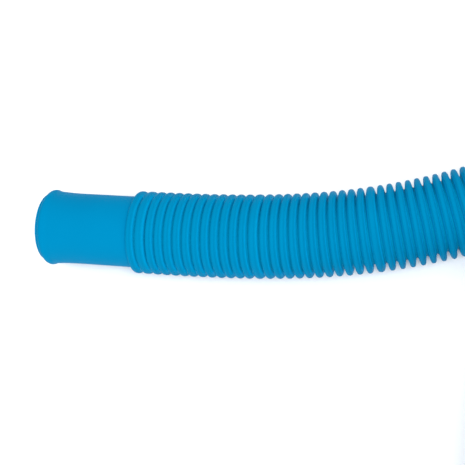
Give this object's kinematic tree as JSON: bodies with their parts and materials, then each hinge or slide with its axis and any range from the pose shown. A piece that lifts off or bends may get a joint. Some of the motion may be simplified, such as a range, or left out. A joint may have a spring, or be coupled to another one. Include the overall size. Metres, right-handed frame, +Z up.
{
  "type": "pool vacuum hose",
  "caption": "Corrugated pool vacuum hose with a push-on cuff, wound into a tied coil that ends in a swivel cuff.",
  "frame": {"origin": "centre of the plain push-on cuff's mouth", "axes": "+X along the plain cuff into the hose, +Z up; the hose lies on a floor at z = -0.0243"},
  "size_m": [0.8566, 0.5832, 0.1048],
  "materials": {
    "cuff": "soft satin EVA",
    "hose_wall": "satin blow-moulded plastic",
    "hub": "satin moulded plastic",
    "washer": "smooth acetal",
    "seal": "smooth rubber",
    "spring_steel": "stamped stainless steel",
    "webbing": "woven polypropylene webbing",
    "buckle": "satin moulded plastic"
  },
  "bodies": {
    "hose": {"near_cuff": "cuff", "near_neck": "hose_wall", "hose_lead": "hose_wall", "hose_coil": "hose_wall", "end_neck": "hose_wall", "swivel_hub": "hub", "swivel_washer": "washer", "swivel_seal": "seal", "swivel_retainer": "spring_steel", "tie_strap_1": "webbing", "tie_strap_2": "webbing", "tie_strap_3": "webbing", "tie_buckle_1": "buckle", "tie_buckle_2": "buckle", "tie_buckle_3": "buckle"},
    "swivel": {"swivel_collar": "hub", "swivel_socket": "cuff"}
  },
  "joints": [
    {"name": "swivel_spin", "type": "hinge", "parent": "hose", "child": "swivel", "pos_m": [0.71832, 0.08496, 0.0506], "axis": [0.8192, -0.5736, 0], "continuous": true}
  ]
}
